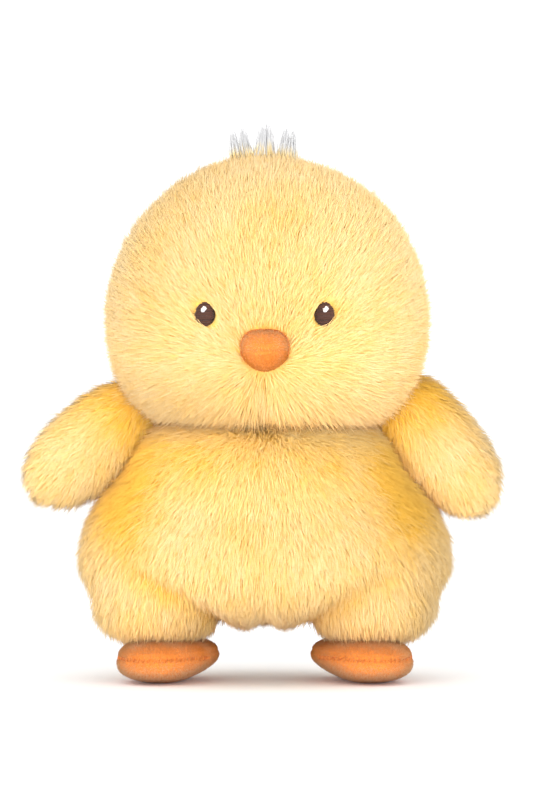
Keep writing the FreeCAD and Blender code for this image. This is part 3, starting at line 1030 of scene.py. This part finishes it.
def make_wing(side):
    sign = SIDES[side]
    low, high = span(f"wing_front_panel_{side}", f"wing_back_panel_{side}")
    shift = np.array([-sign * WING_INWARD, -WING_FORWARD, WING_LIFT])
    centre = (low + high) / 2 + shift
    reach = WING_HALF_LENGTH[side] - SLACK
    axis = np.array([sign * math.cos(WING_DROOP[side]), 0, -math.sin(WING_DROOP[side])])
    skin = form(f"wing_{side}", centre, WING_HALF_BREADTH - SLACK, WING_HALF_DEPTH - SLACK,
                reach, reach, WING_POWERS)
    turn(skin, Vector(centre), "Y", -sign * (math.pi / 2 - WING_DROOP[side]))
    skin = weld(f"wing_{side}", [skin], WING_VOXEL)
    seam = centre[1] + WING_SEAM_BEHIND
    stuff(skin, lambda points: np.abs(points[:, 1] - seam) < 2 * MM, WING_SWELL)
    push(skin, lambda points: -0.8 * MM * bell(points[:, 1] - seam, 1.6 * MM))

    def nap(points, normals):
        inner = -sign * (points[:, 0] - centre[0]) - (points[:, 2] - centre[2])
        down = 0.65 * ease(inner, -4 * MM, 26 * MM)[:, None]
        return axis * (1 - down) + DOWN * down

    def tone(points):
        along = (points - centre) @ axis
        # painted shade: deeper towards the root, where the wing meets the body
        painted_shade = 0.68 * ease(-along, -6 * MM, 26 * MM)
        patches = 0.07 * ripple(points, 26 * MM, 9) + 0.05 * ripple(points, 9 * MM, 10)
        return 0.70 - painted_shade + patches

    fur = pile(skin, nap, tone, 13 + sign)
    slice_skin(skin, ((0, seam, 0), (0, 1, 0)))
    for face, ahead in (("front", True), ("back", False)):
        def inside(points, ahead=ahead):
            return (points[:, 1] < seam) == ahead
        nodes = [f"wing_{face}_panel_{side}"] + ([f"wing_filling_{side}"] if ahead else [])
        plush(f"wing_{face}" + "_{}_" + side, skin, inside, fur, f"wing_{side}", 0.7, *nodes)
    bpy.data.objects.remove(skin)


# === feet ===
TOE_OUT = math.radians(14)
FOOT_HALF_WIDTH, FOOT_HALF_LENGTH, FOOT_LEVEL, FOOT_FORWARD = 21.6 * MM, 37.4 * MM, 9 * MM, 2 * MM
FOOT_LOWER, FOOT_DROP, FOOT_POWERS = 1 * MM, 8.4 * MM, (2.6, 2.4)
FOOT_INNER_LIFT, FLOOR_GAP = 3.5 * MM, 0.3 * MM
FOOT_NAP = [0.0, -0.5, -0.4]
FOOT_STITCHES, FOOT_STITCH_TURN, FOOT_STITCH_SLANT = np.arange(-158, -22, 4), 0.15, 0.25


def make_foot(side):
    sign = SIDES[side]
    body = f"foot_{side}"
    low, high = span(f"foot_upper_{side}", f"foot_sole_{side}")
    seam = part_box(f"foot_sole_{side}")[1].z
    centre = (low + high) / 2
    centre[1:] = centre[1] - FOOT_FORWARD, FOOT_LEVEL
    skin = form(f"foot_{side}", centre, FOOT_HALF_WIDTH, FOOT_HALF_LENGTH,
                high[2] - centre[2] - FOOT_LOWER, FOOT_DROP, FOOT_POWERS)
    turn(skin, Vector(centre), "Z", sign * TOE_OUT)
    skin = weld(f"foot_{side}", [skin], 2.8 * MM)
    stuff(skin, lambda points: np.abs(points[:, 2] - seam) < 1.5 * MM, 0.8 * MM)
    push(skin, lambda points: -0.7 * MM * bell(points[:, 2] - seam, 1.1 * MM))
    points = points_of(skin)
    middle = -centre[0] * sign
    inner = ease(-points[:, 0] * sign, middle - 2 * MM, middle + 22 * MM)
    points[:, 2] += FOOT_INNER_LIFT * inner**1.3 * (1 - ease(points[:, 2], 4 * MM, 20 * MM))
    points[:, 2] = np.maximum(points[:, 2], FLOOR_GAP)
    set_points(skin, points)
    around = np.array([centre[0], centre[1], seam])
    angles = np.radians(FOOT_STITCHES) + sign * FOOT_STITCH_TURN
    sew(f"foot_seam_{side}", skin, around, "Z", angles, FOOT_STITCH_SLANT, body, 51 + sign)
    slice_skin(skin, ((0, 0, seam), (0, 0, 1)))

    def upper_tone(points):
        outer = ease(sign * points[:, 0], 50 * MM, 66 * MM)
        # painted light: paler at the top, lifting the shade that the leg's pile casts there
        top = ease(points[:, 2], 15 * MM, 20 * MM)
        return 0.24 + 0.12 * ripple(points, 12 * MM, 15) + 0.25 * outer + 0.5 * top

    def sole_tone(points):
        low_edge = ease(-points[:, 2], -seam, -2 * MM)
        streak = 0.3 * np.abs(ripple(points * [1, 1, 0.25], 4 * MM, 16))
        # painted shade: darker just below the seam, under the bulge of the upper
        beside_seam = 0.3 * bell(points[:, 2] - seam, 2 * MM)
        return 0.6 + 0.6 * low_edge + streak * low_edge - beside_seam

    halves = {"upper": (lambda points: points[:, 2] > seam, upper_tone),
              "sole": (lambda points: points[:, 2] <= seam, sole_tone)}
    for name, (inside, tone) in halves.items():
        nodes = [f"foot_{name}_{side}"] + ([f"foot_filling_{side}"] if name == "upper" else [])
        velour(f"foot_{name}" + "_{}_" + side, skin, inside, FOOT_NAP, tone, 41 + sign, body, 0.85,
               *nodes)
    bpy.data.objects.remove(skin)


# === tuft ===
TUFT_LOCKS = 6
HAIRS_PER_LOCK = 260
TUFT_HALF_WIDTH, TUFT_FAN, TUFT_HAIR = 11.5 * MM, 4.2, 0.17 * MM
TUFT_OVER, TUFT_SIDES_LOWER = 0.6 * MM, 2.4 * MM
LOCK_SPREAD = np.array([1.5, 1.6, 0]) * MM
WISP_SPREAD = np.array([1.0, 1.0, 0]) * MM
LOOSE_SHARE, SHORTEST = 0.25, 0.62
TUFT_SINK = 1 * MM
TUFT_SHADING = np.array([0.0, -1.0, 0.8])


def make_tuft(skin):
    """A fan of pointed locks, yellow at the foot and grey above."""
    rng = np.random.default_rng(17)
    low, high = span("crown_tuft")
    middle = (low + high) / 2
    foot_z = hit(skin, (middle[0], middle[1], 1), DOWN)[0][2] - TUFT_SINK
    crown_width = head_high[0] - head_low[0]
    roots, tips = [], []
    for number in range(TUFT_LOCKS):
        place = number / (TUFT_LOCKS - 1) * 2 - 1
        foot = np.array([place * TUFT_HALF_WIDTH, middle[1] + rng.normal(0, 1) * MM, foot_z])
        lean = np.array([place * TUFT_FAN + rng.normal(0, 1.6), rng.normal(0, 1.5), 0]) * MM
        point = foot + lean
        point[2] = high[2] + TUFT_OVER - TUFT_SIDES_LOWER * place**2 - rng.uniform(0, 1.2) * MM
        spread = rng.normal(0, 1, (HAIRS_PER_LOCK, 3)) * LOCK_SPREAD
        reach = 1 - SHORTEST * rng.random(HAIRS_PER_LOCK)[:, None] ** 1.3
        wisp = rng.normal(0, 1, (HAIRS_PER_LOCK, 3)) * WISP_SPREAD
        loose = (rng.random(HAIRS_PER_LOCK) < LOOSE_SHARE)[:, None]
        root = foot + spread
        root[:, 2] -= (root[:, 0] ** 2 + (root[:, 1] - middle[1]) ** 2) / crown_width
        gather = (foot - root) * reach * 0.7
        roots.append(root)
        tips.append(root + (point - foot) * reach + gather + wisp * (0.4 + 1.5 * loose))
    root, tip = np.concatenate(roots), np.concatenate(tips)
    count = len(root)
    bend = (root + tip) / 2 + rng.normal(0, 0.3 * MM, root.shape)
    width = TUFT_HAIR * rng.normal(1, 0.15, count)
    facing = np.tile([0.0, -1.0, 0.0], (count, 1))
    shading = np.tile(unit(TUFT_SHADING), (count, 1))
    tuft = spun("crown_tuft_hair", [(root, width), (bend, width * 0.9)], tip, facing,
                rng.uniform(0, 1, count), shading=shading)
    fit(tuft, "head", "tuft_pile", "tuft_pile", "crown_tuft")


# === care label ===
def make_label():
    low, high = span("care_label")
    size = high - low
    strip = bmesh.new()
    bmesh.ops.create_grid(strip, x_segments=14, y_segments=10, size=0.5)
    ribbon = as_object("care_ribbon", strip)
    flat = points_of(ribbon)
    length, width = size[1], size[2]
    along, up = flat[:, 0] + 0.5, flat[:, 1]
    sway = 1.2 * MM * np.sin(along * 2.6) + 0.5 * MM * np.sin(up * 5 + along * 3)
    droop = 2.5 * MM * along**2
    middle = (low + high) / 2
    set_points(ribbon, np.stack([middle[0] + sway, low[1] + along * length,
                                 middle[2] + up * width - droop], axis=1))
    with_modifier(ribbon, "SOLIDIFY", thickness=0.4 * MM, offset=0.0)
    ribbon.data.shade_smooth()
    fit(ribbon, "body", "label_ribbon", "label_ribbon", "care_label")


# === inside pieces that stay as the frame has them ===
def dress_inside():
    looks = {"bead_pouch": "pouch_cloth", "pellet_fill": "pellets", "neck_filling": "fibre_filling"}
    for node, look in looks.items():
        dress(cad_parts[node], look)


# === studio ===
WORLD_STRENGTH, BOUNCES, FLOOR_HALF = 1.24, 12, 6
CAMERA_DISTANCE, CAMERA_ELEVATION, CAMERA_LENS = 2.6, math.radians(1.5), 260
CAMERA_AIM_X = 0.0007
# place and aim from the middle of the part, width and height in metres, watts
LIGHTS = {
    "key": ((-0.6, -1.5, 0.7), (0, 0, 0), (1.4, 1.2), 4),
    "fill": ((0.9, -1.4, 0.1), (0, 0, 0), (1.2, 0.9), 8),
    "under": ((-0.1, -1.0, -0.02), (0, 0, 0.08), (1.2, 0.16), 7.5),
}


def stand(data, place, aim):
    """An object at place that looks at aim."""
    made = add_object(data.name, data)
    made.location = place
    made.rotation_mode = "QUATERNION"
    made.rotation_quaternion = (Vector(aim) - Vector(place)).to_track_quat("-Z", "Y")
    return made


def add_area(name, place, aim, size, power):
    light = bpy.data.lights.new(name, "AREA")
    light.shape = "RECTANGLE"
    light.size, light.size_y = size
    light.energy = power
    stand(light, place, aim)


def make_studio():
    scene = bpy.context.scene
    scene.view_settings.view_transform = "Standard"
    scene.cycles.diffuse_bounces = BOUNCES
    scene.cycles.max_bounces = BOUNCES + 4
    world = bpy.data.worlds.new("studio")
    world.use_nodes = True
    backdrop = world.node_tree.nodes["Background"]
    backdrop.inputs["Color"].default_value = (1, 1, 1, 1)
    backdrop.inputs["Strength"].default_value = WORLD_STRENGTH
    scene.world = world
    middle = Vector((cad_box[0] + cad_box[1]) / 2)

    shape = bmesh.new()
    bmesh.ops.create_grid(shape, x_segments=4, y_segments=4, size=FLOOR_HALF)
    floor = as_object("floor", shape)
    paper, tree, shader = new_material("paper", 0.9)
    noise = add_node(tree, "ShaderNodeTexNoise", {"Scale": 3.0})
    paint(tree, shader, noise.outputs["Fac"], [(0.3, (0.93,) * 3), (0.7, (0.96,) * 3)])
    floor.data.materials.append(paper)

    for name, (place, aim, size, power) in LIGHTS.items():
        add_area(name, middle + Vector(place), middle + Vector(aim), size, power)

    lens = bpy.data.cameras.new("camera")
    lens.sensor_fit, lens.sensor_width = "AUTO", 36
    lens.lens = CAMERA_LENS
    lens.clip_start, lens.clip_end = 0.05, 50
    aim = Vector((CAMERA_AIM_X, middle.y, middle.z))
    away = Vector((0, -math.cos(CAMERA_ELEVATION), math.sin(CAMERA_ELEVATION)))
    scene.camera = stand(lens, aim + away * CAMERA_DISTANCE, aim)


make_studio()
head_skin = make_head()
make_eyes(head_skin)
make_tuft(head_skin)
bpy.data.objects.remove(head_skin)
make_beak()
body_skin = make_body()
bpy.data.objects.remove(body_skin)
for side in SIDES:
    make_wing(side)
    make_foot(side)
make_label()
dress_inside()
